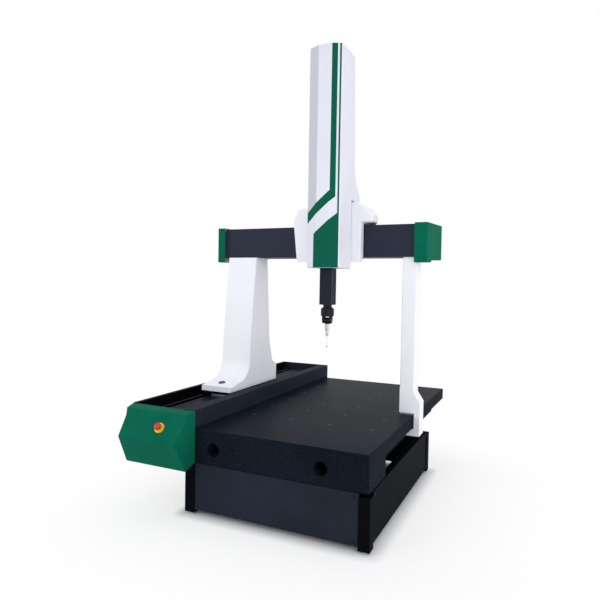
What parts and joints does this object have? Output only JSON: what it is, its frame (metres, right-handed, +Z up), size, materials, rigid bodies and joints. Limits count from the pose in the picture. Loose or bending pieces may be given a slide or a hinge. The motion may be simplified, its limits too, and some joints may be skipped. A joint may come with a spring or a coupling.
{
  "type": "coordinate measuring machine",
  "caption": "Moving bridge coordinate measuring machine with granite table, green caps and a motorised probe head.",
  "frame": {"origin": "on the floor, below the centre of the machine's bounding box", "axes": "+X to the right along the beam, +Y along the table to the back, +Z up"},
  "size_m": [1.0899, 1.4583, 1.895],
  "materials": {
    "granite": "lapped",
    "white_paint": "satin",
    "green_paint": "satin",
    "dark_paint": "textured",
    "anodised_aluminium": "hard anodised",
    "bare_aluminium": "milled",
    "ground_steel": "ground",
    "black_plastic": "moulded",
    "red_plastic": "moulded",
    "yellow_plastic": "moulded",
    "belt_rubber": "toothed",
    "ruby": "polished"
  },
  "bodies": {
    "base": {"granite_table": "granite", "table_inserts": "ground_steel", "stand_frame": "dark_paint", "end_panels": "dark_paint", "side_panels": "dark_paint", "levelling_feet": "ground_steel", "table_mounts": "belt_rubber", "y_guide_bar": "granite", "rail_inner_wall": "dark_paint", "rail_outer_wall": "dark_paint", "rail_end_plate": "dark_paint", "front_cap": "green_paint", "y_scale": "ground_steel", "y_belt": "belt_rubber", "y_motor": "black_plastic", "y_motor_bracket": "bare_aluminium", "estop_base": "yellow_plastic"},
    "stop_plunger": {"estop_stem": "black_plastic"},
    "stop_button": {"estop_head": "red_plastic"},
    "y_drive_wheel": {"y_drive_pulley": "bare_aluminium"},
    "y_idler_wheel": {"y_idler_pulley": "bare_aluminium"},
    "bridge": {"bridge_saddle": "bare_aluminium", "saddle_air_pads": "bare_aluminium", "left_leg": "bare_aluminium", "left_leg_cover": "white_paint", "right_post": "white_paint", "right_foot": "white_paint", "foot_air_pads": "bare_aluminium", "guide_beam": "anodised_aluminium", "beam_cap_left": "green_paint", "beam_cap_right": "green_paint", "beam_end_plates": "bare_aluminium", "x_motor": "black_plastic", "x_belt": "belt_rubber", "x_scale": "ground_steel", "y_readhead": "black_plastic"},
    "x_drive_wheel": {"x_drive_pulley": "bare_aluminium"},
    "x_idler_wheel": {"x_idler_pulley": "bare_aluminium"},
    "carriage": {"carriage_frame": "bare_aluminium", "carriage_air_pads": "bare_aluminium", "carriage_readheads": "black_plastic", "carriage_shroud": "white_paint", "z_housing": "bare_aluminium", "z_cover_front": "white_paint", "z_cover_rear": "white_paint", "z_motor": "black_plastic", "z_belt": "belt_rubber", "counterbalance_piston": "ground_steel"},
    "z_drive_wheel": {"z_drive_pulley": "bare_aluminium"},
    "z_idler_wheel": {"z_idler_pulley": "bare_aluminium"},
    "quill": {"ram": "anodised_aluminium", "z_scale": "ground_steel", "counterbalance_cylinder": "bare_aluminium", "probe_head_body": "black_plastic"},
    "swivel": {"head_rotor": "black_plastic", "tilt_pin": "ground_steel"},
    "probe": {"head_tilt": "ground_steel", "probe_body": "ground_steel"},
    "stylus": {"stylus_stem": "ground_steel", "stylus_ball": "ruby"}
  },
  "joints": [
    {"name": "bridge_y", "type": "slide", "parent": "base", "child": "bridge", "axis": [0, 1, 0], "range_m": [-0.33, 0.37]},
    {"name": "carriage_x", "type": "slide", "parent": "bridge", "child": "carriage", "axis": [1, 0, 0], "range_m": [-0.322, 0.178]},
    {"name": "ram_z", "type": "slide", "parent": "carriage", "child": "quill", "axis": [0, 0, 1], "range_m": [-0.285, 0.215]},
    {"name": "head_rotate", "type": "hinge", "parent": "quill", "child": "swivel", "pos_m": [0.1185, -0.1435, 0.775], "axis": [0, 0, 1], "range_deg": [-180, 180]},
    {"name": "head_tilt", "type": "hinge", "parent": "swivel", "child": "probe", "pos_m": [0.1185, -0.1435, 0.739], "axis": [1, 0, 0], "range_deg": [0, 90]},
    {"name": "stylus_deflection", "type": "hinge", "parent": "probe", "child": "stylus", "pos_m": [0.1185, -0.1435, 0.674], "axis": [1, 0, 0], "range_deg": [-5, 5], "stiffness_Nm_per_rad": 0.1},
    {"name": "stop_press", "type": "slide", "parent": "base", "child": "stop_plunger", "axis": [0, 0.7894, -0.6139], "range_m": [0, 0.004]},
    {"name": "stop_twist", "type": "hinge", "parent": "stop_plunger", "child": "stop_button", "pos_m": [-0.3355, -0.69437, 0.33816], "axis": [0, -0.7894, 0.6139], "range_deg": [0, 40]},
    {"name": "y_drive_turn", "type": "hinge", "parent": "base", "child": "y_drive_wheel", "pos_m": [-0.4935, -0.6475, 0.345], "axis": [1, 0, 0], "range_deg": [-1401, 1251]},
    {"name": "y_idler_turn", "type": "hinge", "parent": "base", "child": "y_idler_wheel", "pos_m": [-0.4935, 0.6945, 0.345], "axis": [1, 0, 0], "range_deg": [-1401, 1251]},
    {"name": "x_drive_turn", "type": "hinge", "parent": "bridge", "child": "x_drive_wheel", "pos_m": [0.4925, 0.1295, 1.05], "axis": [0, 1, 0], "range_deg": [-1221, 682]},
    {"name": "x_idler_turn", "type": "hinge", "parent": "bridge", "child": "x_idler_wheel", "pos_m": [-0.5135, 0.1295, 1.05], "axis": [0, 1, 0], "range_deg": [-1221, 682]},
    {"name": "z_drive_turn", "type": "hinge", "parent": "carriage", "child": "z_drive_wheel", "pos_m": [0.0675, -0.1435, 1.845], "axis": [1, 0, 0], "range_deg": [-820, 1082]},
    {"name": "z_idler_turn", "type": "hinge", "parent": "carriage", "child": "z_idler_wheel", "pos_m": [0.0675, -0.1435, 1.003], "axis": [1, 0, 0], "range_deg": [-820, 1082]}
  ],
  "couplings": [
    {"joint": "y_drive_turn", "follows": "bridge_y", "rad_per_m": -65.359},
    {"joint": "y_idler_turn", "follows": "bridge_y", "rad_per_m": -65.359},
    {"joint": "x_drive_turn", "follows": "carriage_x", "rad_per_m": 65.359},
    {"joint": "x_idler_turn", "follows": "carriage_x", "rad_per_m": 65.359},
    {"joint": "z_drive_turn", "follows": "ram_z", "rad_per_m": -65.359},
    {"joint": "z_idler_turn", "follows": "ram_z", "rad_per_m": -65.359}
  ]
}
